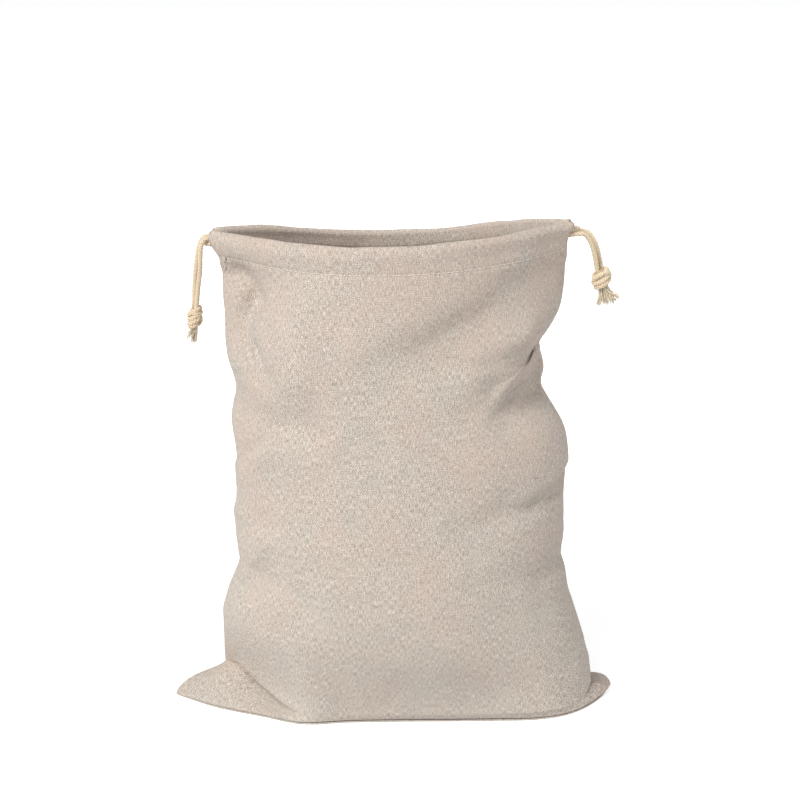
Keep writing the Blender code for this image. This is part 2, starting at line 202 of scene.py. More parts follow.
class Value:
    """A number in a material that can be used in Python sums."""

    def __init__(self, recipe, socket):
        self.recipe = recipe
        self.socket = socket

    def output(self, index):
        """Another result of the same node."""
        return Value(self.recipe, self.socket.node.outputs[index])

    def math(self, operation, *others):
        """One Math node, which the signs below use too."""
        return self.recipe.node("ShaderNodeMath", {"operation": operation}, dict(enumerate((self, *others))))

    def __add__(self, other):
        return self.math("ADD", other)

    def __sub__(self, other):
        return self.math("SUBTRACT", other)

    def __rsub__(self, other):
        return self.math("MULTIPLY_ADD", -1, other)

    def __mul__(self, other):
        return self.math("MULTIPLY", other)


class Recipe:
    """The nodes of a material or a world under construction, and the shader that they end in."""

    def __init__(self, owner, shader="Principled BSDF"):
        self.owner = owner
        owner.use_nodes = True
        self.tree = owner.node_tree
        self.shader = self.tree.nodes[shader]

    def node(self, kind, settings, inputs, output=0):
        """Adds a node: its settings first, then the values or links of its sockets."""
        made = self.tree.nodes.new(kind)
        for name, value in settings.items():
            if name == "stops":
                while len(made.color_ramp.elements) < len(value):
                    made.color_ramp.elements.new(0.5)
                for stop, (place, colour) in zip(made.color_ramp.elements, value):
                    stop.position = place
                    stop.color = (*colour, 1)
            else:
                setattr(made, name, value)
        for name, value in inputs.items():
            self.connect(made.inputs[name], value)
        return Value(self, made.outputs[output])

    def connect(self, socket, value):
        """Links a socket to a value, or sets it."""
        if isinstance(value, Value):
            self.tree.links.new(value.socket, socket)
        else:
            socket.default_value = value

    def shade(self, inputs):
        """Sends values to the shader, and gives back the finished material or world."""
        for name, value in inputs.items():
            self.connect(self.shader.inputs[name], value)
        print("finished", self.owner.name, "with", len(self.tree.nodes), "nodes")
        return self.owner

    def noise(self, place, size, detail=0.0, rough=0.5):
        """Noise from 0 to 1, with lumps of about this size along u and v, in metres."""
        scaled = self.node("ShaderNodeVectorMath", {"operation": "MULTIPLY"},
                           {0: place, 1: (1 / size[0], 1 / size[1], 1)})
        return self.node("ShaderNodeTexNoise", {}, {
            "Vector": scaled, "Scale": 1.0, "Detail": detail, "Roughness": rough})

    def stretch(self, value, low, high):
        """0 at low, 1 at high, held between."""
        return self.node("ShaderNodeMapRange", {"clamp": True}, {
            "Value": value, "From Min": low, "From Max": high})

    def blend(self, factor, first, second):
        """Two colours mixed."""
        return self.node("ShaderNodeMix", {"data_type": "RGBA"}, {0: factor, 6: first, 7: second}, output=2)

    def textile(self, colour, height, roughness, depth, strength, sheen):
        """Finishes soft fibre: its colours, a faint sheen, and the height as a bump of this depth."""
        bump = self.node("ShaderNodeBump", {}, {"Strength": strength, "Distance": depth, "Height": height})
        return self.shade({"Base Color": colour, "Roughness": roughness, "Sheen Weight": sheen,
                           "Sheen Roughness": 0.6, "Specular IOR Level": 0.25, "Normal": bump})


# %% [markdown]
# ## The cloth's finish
# The bag is plain weave: each thread goes over one and under the next. Linen yarn is uneven, so each thread
# has its own shade along its length, with thick pale slubs and dark flecks, and the cloth is a little rosy or
# olive in wide patches, which also carry painted reflected light that turns it rosier higher up and more
# olive lower down. Painted shade darkens the gaps between the threads. All of it is drawn on the UV map,
# which holds real distances along both directions of thread, so it turns and bends with the cloth.

# %% Make the woven cloth
THREAD = 0.95 * MM  # from one thread to the next
YARN_COLOURS = [  # from the darkest yarn to the palest
    (0.06, (0.165, 0.132, 0.105)), (0.34, (0.352, 0.302, 0.256)),
    (0.60, (0.535, 0.476, 0.416)), (0.92, (0.765, 0.726, 0.670)),
]
TINTS = {  # where a noise starts to tint the cloth and where it does so in full, its share and its colour
    # rosy and olive follow a noise that rises with height: uneven tone, plus painted reflected light
    "rosy": (0.34, 0.62, 0.26, (0.56, 0.39, 0.31, 1)),
    "olive": (0.36, 0.16, 0.20, (0.44, 0.43, 0.36, 1)),
    "warm": (0.54, 0.72, 0.05, (0.55, 0.40, 0.33, 1)),
    "cool": (0.46, 0.30, 0.06, (0.47, 0.455, 0.48, 1)),
    "fleck": (0.79, 0.84, 0.75, (0.20, 0.155, 0.115, 1)),
    "slub": (0.77, 0.84, 0.60, (0.86, 0.82, 0.76, 1)),
}
# painted shade: the colour that the gaps between the threads are darkened towards
PAINTED_GAP_SHADE = (0.30, 0.245, 0.195, 1)


def woven_cloth(name):
    """Undyed linen and cotton in plain weave."""
    recipe = Recipe(bpy.data.materials.new(name))
    place = recipe.node("ShaderNodeUVMap", {"uv_map": "cloth"}, {})
    wander = recipe.noise(place, (5 * MM, 7 * MM), 1.0) - 0.5
    drift = recipe.noise(place, (8 * MM, 4 * MM), 1.0) - 0.5
    split = recipe.node("ShaderNodeSeparateXYZ", {}, {0: place})
    height_up = split.output(1)
    turn = math.pi / THREAD
    warp = ((split + wander * (1.6 * THREAD)) * turn).math("COSINE")
    weft = ((height_up * 0.9 + drift * (2.2 * THREAD)) * turn).math("COSINE")
    over = (warp * weft * 3.0).math("MULTIPLY_ADD", 0.5, 0.5).math("MINIMUM", 1.0).math("MAXIMUM", 0.0)
    warp_round = warp.math("ABSOLUTE")
    weft_round = weft.math("ABSOLUTE")
    height = warp_round * (over * 0.6 + 0.4) + weft_round * (1.0 - over * 0.6)
    gap = recipe.stretch(warp_round.math("MINIMUM", weft_round), 0.0, 0.45)

    warp_shade = recipe.noise(place, (0.66 * MM, 3.2 * MM))
    weft_shade = recipe.noise(place, (3.0 * MM, 0.62 * MM))
    grain = recipe.noise(place, (0.62 * MM, 0.8 * MM))
    patches = recipe.noise(place, (14 * MM, 20 * MM))
    total = warp_shade * 0.95 + weft_shade * 0.55 + grain * 0.50 + patches * 0.10 + over * 0.22
    shade = recipe.stretch(total, 0.46, 1.86)
    colour = recipe.node("ShaderNodeValToRGB", {"stops": YARN_COLOURS}, {0: shade})
    # tone in wide patches, plus painted reflected light: rising with height, it makes the cloth rosier higher
    # up and more olive lower down
    broad = recipe.noise(place, (46 * MM, 56 * MM), 1.0) + height_up * 0.6
    noises = {"rosy": broad, "olive": broad, "warm": patches, "cool": patches,
              "fleck": recipe.noise(place, (1.0 * MM, 1.8 * MM)),
              "slub": recipe.noise(place, (0.8 * MM, 6.0 * MM))}
    for tint, (low, high, share, tint_colour) in TINTS.items():
        shown = recipe.stretch(noises[tint], low, high)
        colour = recipe.blend(shown * share, colour, tint_colour)
    # painted shade, darkest in the gaps between the threads
    colour = recipe.blend((1.0 - gap) * 0.58, colour, PAINTED_GAP_SHADE)
    raised = height * 0.6 + grain * 1.6 + warp_shade * 0.5 + shown * 0.8  # the slubs, shown last, stand out
    return recipe.textile(colour, raised, roughness=0.92, depth=0.2 * MM, strength=1.0, sheen=0.1)


linen = woven_cloth("linen_cloth_weave")

# %% [markdown]
# ## The cord's finish
# Soft cotton cord is cream, and painted shade darkens it a little between its strands. Each strand is itself
# a bundle of fine fibres laid at a slant, which a stripe pattern on the strand's UV map shows.

# %% Make the cotton cord and the sewing thread


def cotton_yarn(name, light, dark, fibre, depth):
    """Soft spun cotton, with fibres along the strand, and painted shade on each strand's inner side where the
    strands meet.
    """
    recipe = Recipe(bpy.data.materials.new(name))
    place = recipe.node("ShaderNodeUVMap", {"uv_map": "cloth"}, {})
    split = recipe.node("ShaderNodeSeparateXYZ", {}, {0: place})
    around = split * (2 * math.pi * 3)
    along = split.output(1) * (2 * math.pi / fibre)
    slant = (around + along).math("SINE")
    lumps = recipe.noise(place, (0.35, 1.4 * MM), 3.0, 0.6)
    # painted shade: each strand is lighter on its crown and darker on its inner side, where the strands meet
    outer = (split * (2 * math.pi)).math("SINE")
    shade = recipe.stretch(outer * depth + slant * 0.12 + lumps, 0.30 - depth * 0.4, 0.75 + depth * 0.7)
    colour = recipe.blend(shade, (*dark, 1), (*light, 1))
    raised = slant * 0.35 + lumps
    return recipe.textile(colour, raised, roughness=0.88, depth=0.18 * MM, strength=0.8, sheen=0.2)


# the last number is how strongly painted shade darkens each strand's inner side
cotton = cotton_yarn("cotton_cord_yarn", (0.77, 0.645, 0.47), (0.38, 0.275, 0.165), 0.9 * MM, 0.45)
fringe = cotton_yarn("cotton_fringe_yarn", (0.88, 0.79, 0.63), (0.68, 0.57, 0.41), 0.7 * MM, 0.1)
thread = cotton_yarn("pale_sewing_thread", (0.80, 0.74, 0.67), (0.60, 0.54, 0.47), 0.4 * MM, 0.1)

# %% [markdown]
# ## The sizes of the bag
# These are the sizes that the solids were built from. A level section of the filled bag is a rounded lens,
# its width and depth change with height, and a table of the foot says where the cloth leaves the floor.

# %% State the driving sizes
BODY_HEIGHT = 325 * MM
CASING_DEPTH = 17.5 * MM
CASING_THICK = 6 * MM
SLIT_DEPTH = 34 * MM
SLIT_HALF_WIDTH = 9.5 * MM
FLAT_HALF_WIDTH = 165 * MM
UPPER_CORD_DEPTH = 5.0 * MM
LOWER_CORD_DEPTH = 8.8 * MM
RIM_LEFT, RIM_RIGHT = 325 * MM, 331 * MM
RIM_MIDDLE = {"front": 322.5 * MM, "back": 316 * MM}
RIM_SAG_SHAPE = {"front": 1.2, "back": 2.2}
CLOTH = 0.75 * MM  # thickness of the cloth that shows
LAYER_RISE = 1.7 * MM  # the front's height over the back in the flat corners
HEM_CLOSED = 1.8 * MM  # between the middles of the casing's layers at its stitches

WIDTHS = [  # height, left side, right side, in millimetres
    (0, -119.5, 137), (15, -119, 134.5), (26, -118, 130), (40, -117.5, 126.5), (52, -117, 123.5),
    (61, -114.5, 121), (71, -112, 118), (81, -108.5, 116.5), (90, -105, 115), (98, -105.5, 113),
    (112, -107, 115), (124, -109, 115), (136, -106.5, 114.5), (158, -106, 115.5),
    (175, -107, 115.5), (186, -108.5, 113.5), (195, -109, 109.5), (205, -107.5, 103.5),
    (215, -105.5, 98.5), (227, -107.5, 100), (235, -110, 98.5), (245, -111.5, 95.5), (251, -112, 99.5),
    (258, -112, 104.5), (266, -112, 108.5), (280, -113, 111.5), (300, -113.5, 112.5),
    (308, -114, 112), (315, -118, 112.5), (320, -120, 115), (325, -119, 119),
]

DEPTHS = [  # height, front, back, in millimetres, and how pinched the section's ends are
    (0, 58, 60, 0.85), (40, 72, 72, 0.85), (80, 75, 76, 0.88), (140, 74.5, 76, 0.90),
    (200, 71, 74, 0.95), (250, 69, 70, 1.05), (285, 67, 67, 1.50), (325, 66, 64, 2.40),
]

FOOT = [
    # across, seam x, seam y, front x, front y, front z, back x, back y, back z
    (-1.00, -152, -5, -119.5, 17, 15, -119.5, 17, 15),
    (-0.80, -122, -25.5, -108, 3, 22, -112, 40, 2.5),
    (-0.60, -90, -40, -90, -15, 12, -92, 50, 0.5),
    (-0.42, -61, -52.5, -61, -50, 6, -66, 52, 0.5),
    (-0.25, -32, -50, -32, -51.5, 7, -33, 51, 0.5),
    (-0.06, 0, -48.5, 0, -51, 7, 0, 50, 0.5),
    (0.33, 66, -47, 66, -49.5, 7, 60, 50, 0.5),
    (0.51, 97, -45, 97, -47, 7, 88, 48, 0.5),
    (0.61, 113, -40, 113, -41, 7, 103, 44, 0.5),
    (0.71, 127, -30, 126, -29, 8, 116, 38, 0.5),
    (0.84, 142, -11, 134, -10, 8, 127, 27, 2.5),
    (1.00, 152.3, 10, 137, 15, 9.5, 137, 15, 9.5),
]
EAR_SWELL = {-1: (-7, 3), 1: (4, 6)}  # how far each flat corner's cloth rounds out in x and y, in millimetres
BACK_TUCK, TUCK_TOP = 1.7 * MM, 75 * MM  # the back's edge lies this far inside the front's, up to this height
LAP_TOP = 16 * MM
FOOT_BLEND = 85 * MM  # the height in which the line of the foot turns into a level section
FOOT_POWER = {"front": 2.2, "back": 3.2}
SEAM_POWER = 2.4
FACING = {"front": 1, "back": -1}  # turns a sum for the front panel into the back's

FOLDS = {  # start x and z, end x and z, depth at start and end, half width, in millimetres
    "front": [
        (97, 246, 66, 229, 9, 3.5, 8), (66, 229, 50, 219, 3.5, 1.5, 11), (84, 262, 52, 246, -4, -1.5, 11),
        (99, 221, 84, 218, 4, 1.5, 7), (112, 158, 88, 150, 5, 2, 6.5), (48, 144, 71, 151, 2, 3, 13),
        (110, 106, 96, 100, 3, 1, 7), (-101, 298, -94, 285, 4.5, 5, 8), (-97, 280, -103, 262, 5, 4.5, 7),
        (-98, 250, -84, 233, 5, 3.5, 8), (10, 274, -22, 250, 3, 4.5, 15), (-97, 209, -60, 207, 4, 2.5, 12),
        (-86, 102, -104, 90, 2, 5, 9),
    ],
    "back": [
        (94, 240, 52, 206, 8, 2.5, 11), (88, 222, 40, 232, 4, 3, 12), (-92, 250, -48, 214, 5, 3, 12),
        (-104, 96, -58, 120, 5, 2.5, 12), (0, 282, 14, 226, 3.5, 4, 14), (104, 92, 62, 70, 4.5, 2.5, 12),
    ],
}
SEAM_STILL = 0.09  # the share of a row beside each seam over which the folds fade out
SECTION_STEPS = 481
SLIT_CLOSED, SLIT_AT_FOOT, SLIT_FULL_DEPTH = 0.40 * MM, 0.15 * MM, 12 * MM
SEAM_HEIGHT = 0.5 * MM  # of the bottom seam over the floor
HEM_EASE = 8 * MM  # the height over which the casing's layers come together

# %% [markdown]
# ## The form of the cloth
# One row of a panel is a level line round half of the bag, evenly spaced along the cloth. Near the floor it
# turns into the line of the foot. The folds draw it in, most where they are deepest, and fade out at the side
# seams so that the panels stay together there.

# %% Work out the rows of a panel


def rim_height(side, across):
    """The height of the top fold: a shallow sag between the ends of the mouth."""
    ends = RIM_LEFT + (RIM_RIGHT - RIM_LEFT) * (across + 1) / 2
    middle = RIM_MIDDLE[side] - (RIM_LEFT + RIM_RIGHT) / 2
    return ends + middle * (1 - across**2) ** RIM_SAG_SHAPE[side]


def slit(station):
    """Half the gap between the two panels at a side: nearly closed, and open beside the casings."""
    low = SLIT_CLOSED + SLIT_AT_FOOT * np.clip(1 - station / FOOT_BLEND, 0, 1)
    top = smooth((station - (BODY_HEIGHT - SLIT_DEPTH)) / (SLIT_DEPTH - SLIT_FULL_DEPTH))
    return low + (SLIT_HALF_WIDTH - low) * top


def section(side, station, across):
    """Half a level section: x follows a sine, y a power of a cosine, read at even steps along the cloth."""
    left, right = (table_curve(WIDTHS, k, station / MM) * MM for k in (1, 2))
    deep = table_curve(DEPTHS, 1 if side == "front" else 2, station / MM) * MM
    pinch = table_curve(DEPTHS, 3, station / MM)
    gap = slit(station)
    turn = np.linspace(-math.pi / 2, math.pi / 2, SECTION_STEPS)
    x = (left + right) / 2 + (right - left) / 2 * np.sin(turn)
    y = gap + (deep - gap) * np.cos(turn).clip(0) ** pinch
    along = distances(np.stack([x, y], axis=1))
    wanted = (across + 1) / 2 * along[-1]
    return np.interp(wanted, along, x), -FACING[side] * np.interp(wanted, along, y)


def fold_depth(side, x, z):
    """How far the soft folds draw the cloth in: a bell curve across the line of each fold."""
    total = np.zeros_like(x)
    for x0, z0, x1, z1, deep0, deep1, half in FOLDS[side]:
        start, run = np.array([x0, z0]) * MM, np.array([x1 - x0, z1 - z0]) * MM
        t = np.clip(((x - start[0]) * run[0] + (z - start[1]) * run[1]) / (run @ run), 0, 1)
        away = np.hypot(x - start[0] - t * run[0], z - start[1] - t * run[1])
        total += (deep0 + (deep1 - deep0) * t) * MM * bell(away, half * MM)
    return total


def body_row(side, station, across):
    """One row of cloth on the standing body, and the level direction into the bag."""
    x, y = section(side, station, across)
    first = 3 if side == "front" else 6
    foot = np.stack([table_curve(FOOT, first + k, across) * MM for k in range(3)], axis=1)
    foot[:, 2] = foot[:, 2].clip(SEAM_HEIGHT)
    power = FOOT_POWER[side] + (SEAM_POWER - FOOT_POWER[side]) * np.abs(across) ** 6
    weight = np.clip(1 - station / FOOT_BLEND, 0, 1) ** power
    edge = np.abs(across) ** 12
    x = weight * foot[:, 0] + (1 - weight) * x
    y = weight * foot[:, 1] + (1 - weight) * y + weight * edge * math.copysign(slit(0), y[0])
    z = foot[:, 2] + (rim_height(side, across) - foot[:, 2]) * station / BODY_HEIGHT
    if side == "back":
        x -= np.sign(across) * edge * BACK_TUCK * smooth((TUCK_TOP - station) / (TUCK_TOP / 2))
        z -= edge * LAYER_RISE * smooth(1 - station / LAP_TOP)
    tangent = unit(np.stack([np.gradient(x), np.gradient(y)], axis=1))
    inward = np.stack([-tangent[:, 1], tangent[:, 0], np.zeros(len(x))], axis=1) * FACING[side]
    depth = fold_depth(side, x, z) * smooth((1 - np.abs(across)) / SEAM_STILL)
    return np.stack([x, y, z], axis=1) + inward * depth[:, None], inward


def foot_rows(side, across, count):
    """The cloth below the body: the front's flat corners and lip, or the back's base on the floor."""
    seam_x, seam_y = (table_curve(FOOT, k, across) * MM for k in (1, 2))
    seam_z = np.full_like(across, SEAM_HEIGHT + (LAYER_RISE if side == "front" else 0))
    seam = np.stack([seam_x, seam_y, seam_z], axis=1)
    edge = np.abs(across) ** 12
    if side == "back":
        seam[:, 0] -= np.sign(across) * edge * BACK_TUCK
    top = body_row(side, 0, across)[0]
    swell = np.zeros_like(seam)
    for end, (out_x, out_y) in EAR_SWELL.items():
        swell[:, :2] += np.outer(np.where(across * end > 0, np.abs(across) ** 3, 0), (out_x, out_y)) * MM
    steps = np.linspace(0, 1, count + 1)[:-1]
    return [seam + (top - seam) * step + swell * 4 * step * (1 - step) for step in steps]


def casing_offset(below):
    """How far the casing's inner layer stands from its outer one, at a depth below the top fold."""
    return HEM_CLOSED + (CASING_THICK - HEM_CLOSED) * smooth((CASING_DEPTH - below) / HEM_EASE)


# %% [markdown]
# ## The two drawstrings
# Each cord is one length that runs right round through both casings. It is plaited from eight strands: four
# turn one way and four the other, and each goes over one and under the next. Its line leaves the knot, enters
# one casing, turns at the far end of the mouth and comes back through the other casing to the knot.

# %% Find the drawstrings' routes
CORD = 3.4 * MM
TURN_REACH = 6.6 * MM
PLAIT_PITCH, KNOT_PITCH = 8.5 * MM, 7.5 * MM  # the length in which a strand goes round the cord once
STRAND_REACH, STRAND_SWING = 0.325, 0.085  # from the cord's middle, as shares of its diameter
STRAND_WIDE, STRAND_TALL, CORE = 0.18, 0.125, 0.25  # half widths, as shares of its diameter
FREE_ENDS = {  # in millimetres, from the casing's end to the knot: the front's, then the back's
    "left": (
        [(-122.8, -7.4, 319.7), (-125.2, -9.2, 316), (-125.9, -9.2, 309),
         (-126.6, -7.6, 299), (-128.4, -4.8, 288), (-130, -1.9, 276.2)],
        [(-123.4, 7.4, 320), (-127.2, 9, 317), (-129.6, 8.8, 309.8),
         (-130.9, 7, 300.6), (-131.9, 4.6, 289.4), (-132.4, 1.9, 276.2)],
    ),
    "right": (
        [(122.4, -6.9, 323.4), (126.2, -6.3, 320.2), (129.2, -4.9, 314.2),
         (131.1, -3.3, 307.1), (132.6, -1.9, 300.2)],
        [(123.2, 6.8, 323.6), (128.4, 6.2, 321.6), (132.2, 4.9, 315.7),
         (134.5, 3.3, 308.1), (136, 1.9, 300.4)],
    ),
}


def casing_run(side, depth, across):
    """Where a drawstring runs inside one casing: midway between its two layers."""
    points, inward = body_row(side, BODY_HEIGHT - depth, across)
    return points + inward * CASING_THICK / 2


def turn_points(start, end, reach):
    """A half turn of cord from one casing's end to the other's, standing out sideways."""
    middle, half = (start + end) / 2, (end - start) / 2
    angles = np.linspace(0, math.pi, 10)[1:-1]
    out = np.array([reach, 0, 0])
    return [middle - half * math.cos(a) + out * math.sin(a) for a in angles]


def smooth_line(points, spacing):
    """A smooth curve through the points (Catmull-Rom), read again at even steps."""
    points = np.array(points, float)
    padded = np.concatenate([[2 * points[0] - points[1]], points, [2 * points[-1] - points[-2]]])
    a, b, c, d = (padded[k : len(points) - 1 + k, None] for k in range(4))
    t = np.linspace(0, 1, 16, endpoint=False)[:, None]
    line = 0.5 * (2 * b + (c - a) * t + (2 * a - 5 * b + 4 * c - d) * t**2
                  + (3 * b - 3 * c + d - a) * t**3)
    line = np.concatenate([line.reshape(-1, 3), points[-1:]])
    along = distances(line)
    at = np.linspace(0, along[-1], round(along[-1] / spacing) + 1)
    return read_at(at, along, line)


def drawstring_route(tied):
    """The whole line of a drawstring: out of one side of its knot, round the mouth and back to it."""
    depth = UPPER_CORD_DEPTH if tied == "left" else LOWER_CORD_DEPTH
    far = 1 if tied == "left" else -1
    across = np.linspace(-1, 1, 33)
    front, back = (casing_run(side, depth, across)[::far] for side in ("front", "back"))
    turn = turn_points(front[-1], back[-1], far * TURN_REACH)
    front_end, back_end = (np.array(points) * MM for points in FREE_ENDS[tied])
    inside = np.array([0.35 * far, 0, 3.2]) * MM
    line = [front_end[-1] - inside, *front_end[::-1], *front, *turn, *back[::-1], *back_end,
            back_end[-1] - inside]
    return smooth_line(line, 0.8 * MM)


def path_frame(path):
    """Two directions square to a path: up is Z where it runs level, and Y where it hangs."""
    tangent = unit(np.gradient(path, axis=0))
    hang = smooth(np.abs(tangent[:, 2:3]) / 0.7)
    up = hang * np.array([0, 1, 0]) + (1 - hang) * np.array([0, 0, 1])
    side = unit(np.cross(tangent, up))
    return side, np.cross(side, tangent)


def plait(path, diameter, pitch):
    """Eight strands round a path. Strand k is at angle +-(2 pi s / pitch) + k pi / 2, and its distance from
    the path swings by a cosine four times a turn, out of step between the two directions."""
    side, up = path_frame(path)
    turn = 2 * math.pi * distances(path) / pitch
    start = np.arange(4)[:, None] * math.pi / 2
    angle = np.concatenate([turn + start, -turn + start])
    swing = np.tile(np.cos(4 * turn) * STRAND_SWING * diameter, (4, 1))
    reach = STRAND_REACH * diameter + np.concatenate([swing, -swing])
    out = np.cos(angle)[:, :, None] * side + np.sin(angle)[:, :, None] * up
    strands = tubes(path + reach[:, :, None] * out, out, STRAND_WIDE * diameter, STRAND_TALL * diameter, 6)
    core = tubes(path[None, ::3], up[None, ::3], CORE * diameter, CORE * diameter, 8)
    return joined([strands, core])


cord_paths = {tied: drawstring_route(tied) for tied in ("left", "right")}
for tied, path in cord_paths.items():
    mesh = plait(path, CORD, PLAIT_PITCH)
    add_piece(f"drawstring_{tied}_plait", *mesh, cotton, "cotton_cord")
    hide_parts(f"drawstring_{tied}")
    print("drawstring", tied, "is", round(distances(path)[-1], 4), "m long")

# %% [markdown]
# ## The knots
# Both ends of a drawstring are tied together in one overhand knot. Pulled tight, it shows as a barrel with
# the doubled cord wound round it, so each wrap is a tipped loop, and one loop crosses over the others.

# %% Tie the knots
KNOTS = {
    "left": {"top": (-131.3, 0, 275.5), "height": 16.0, "radius": 5.2, "lean": (2, -3)},
    "right": {"top": (134.6, 0, 299.5), "height": 13.0, "radius": 7.0, "lean": (2, 14)},
}  # in millimetres, and in degrees to the front and to the right


def knot_axes(side):
    """The knot's origin and its three axes, leaning as the cords hang."""
    facts = KNOTS[side]
    to_front, to_right = (math.radians(angle) for angle in facts["lean"])
    down = unit(np.array([math.sin(to_right), -math.sin(to_front), -math.cos(to_right)]))
    right = unit(np.cross(np.array([0, 1, 0]), -down))
    return np.array(facts["top"]) * MM, right, np.cross(-down, right), down


def knot_loop(side, depth, tilt, reach, phase):
    """One loop of cord round the knot: a circle whose plane is tipped, so that it crosses the others."""
    origin, right, away, down = knot_axes(side)
    angle = phase + np.linspace(0, 2 * math.pi, 90)
    ring = np.cos(angle)[:, None] * right + np.sin(angle)[:, None] * away
    return origin + ring * reach * MM + (depth + tilt * reach * np.cos(angle - phase))[:, None] * MM * down


def knot_core(side):
    """A plain barrel that fills the knot between its wraps: radius follows a sine of the depth."""
    origin, _, away, down = knot_axes(side)
    facts = KNOTS[side]
    depth = np.linspace(0.02, 0.98, 24)
    path = origin + depth[:, None] * facts["height"] * MM * down
    radius = (facts["radius"] * MM - CORD * 0.62) * np.sin(math.pi * depth) ** 0.45 + 0.4 * MM
    return tubes(path[None], away, radius, radius, 20)


LOOPS = {  # depth below the top, tilt, radius and the direction in which it tips, in millimetres and degrees
    "left": [(3.6, 0.62, 2.9, 200), (7.2, 0.72, 3.5, 195), (10.6, 0.66, 3.5, 190), (13.6, 0.45, 2.6, 180),
             (8.6, -0.95, 3.7, 250)],
    "right": [(3.1, 0.40, 4.6, 215), (6.3, 0.46, 5.3, 210), (9.6, 0.40, 4.7, 205), (6.6, -0.62, 5.5, 285)],
}
for side, loops in LOOPS.items():
    wraps = [plait(knot_loop(side, depth, tilt, reach, math.radians(way)), CORD, KNOT_PITCH)
             for depth, tilt, reach, way in loops]
    add_piece(f"knot_{side}_tied", *joined([*wraps, knot_core(side)]), cotton, "cotton_cord")
    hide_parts(f"knot_{side}")

# %% [markdown]
# ## The frayed ends
# Below each knot the cut cord opens into its yarns. Each yarn leaves the knot close to the others, spreads
# and curls a little, and they hang in loose locks.

# %% Fray the ends
FRAYS = {  # yarns in a lock, its lean right and front, its spread and its length, in millimetres
    "left": [(26, -3.2, 0.6, 1.1, 9.5), (22, -1, -0.4, 1, 12)],
    "right": [(40, -3.6, -0.6, 2.4, 13), (46, -0.6, 0.8, 2.8, 14.5), (34, 3, -0.2, 2.6, 13),
              (14, 9, 0.4, 2.2, 11.5)],
}
YARN_POINTS, YARN_RADIUS, YARN_SIDES = 14, 0.30 * MM, 5
LOCK_ROOT = 0.42  # the radius in which the yarns leave the knot, as a share of the knot's


def frayed_lock(side, count, lean_right, lean_front, spread, length, seed):
    """Yarns as curves: root + t down, spreading as t to the power 1.4, with a small wave near the tip."""
    rng = np.random.default_rng(seed)
    origin, right, away, down = knot_axes(side)
    facts = KNOTS[side]
    t = np.linspace(0, 1, YARN_POINTS)[:, None]
    angle = rng.uniform(0, 2 * math.pi, count)[:, None, None]
    reach = np.sqrt(rng.uniform(0, 1, count))[:, None, None]
    disc = np.cos(angle) * right + np.sin(angle) * away
    root = origin + down * (facts["height"] - 1.6) * MM + disc * reach * facts["radius"] * LOCK_ROOT * MM
    long = length * MM * rng.uniform(0.72, 1.0, count)[:, None, None]
    lean = (lean_right * right - lean_front * away) * MM
    wave = np.sin(t * rng.uniform(3, 8, count)[:, None, None] + angle) * 0.35 * MM * t
    paths = (root + down * long * t + (lean + disc * reach * spread * MM) * t**1.4
             + wave * np.roll(disc, 1, axis=2))
    width = YARN_RADIUS * (1 - 0.45 * t[:, 0]) * rng.uniform(0.75, 1.15, (count, 1))
    return tubes(paths, away, width, width, YARN_SIDES)


for side, locks in FRAYS.items():
    parts = [frayed_lock(side, *lock, seed=11 + index) for index, lock in enumerate(locks)]
    add_piece(f"frayed_end_{side}_yarns", *joined(parts), fringe, "cotton_cord")
    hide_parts(f"frayed_end_{side}")

# %% [markdown]
# ## The panels
# A panel is a grid of about two hundred rows by two hundred columns, from the bottom seam up to the top fold
# and down again inside the casing. Small things are added along its normals: drawn folds and creases, uneven
# cloth, the groove and puckers of the hem's stitches, and edges that turn in at the seams. At each side the
# cloth runs on past the seam as an allowance inside the bag.

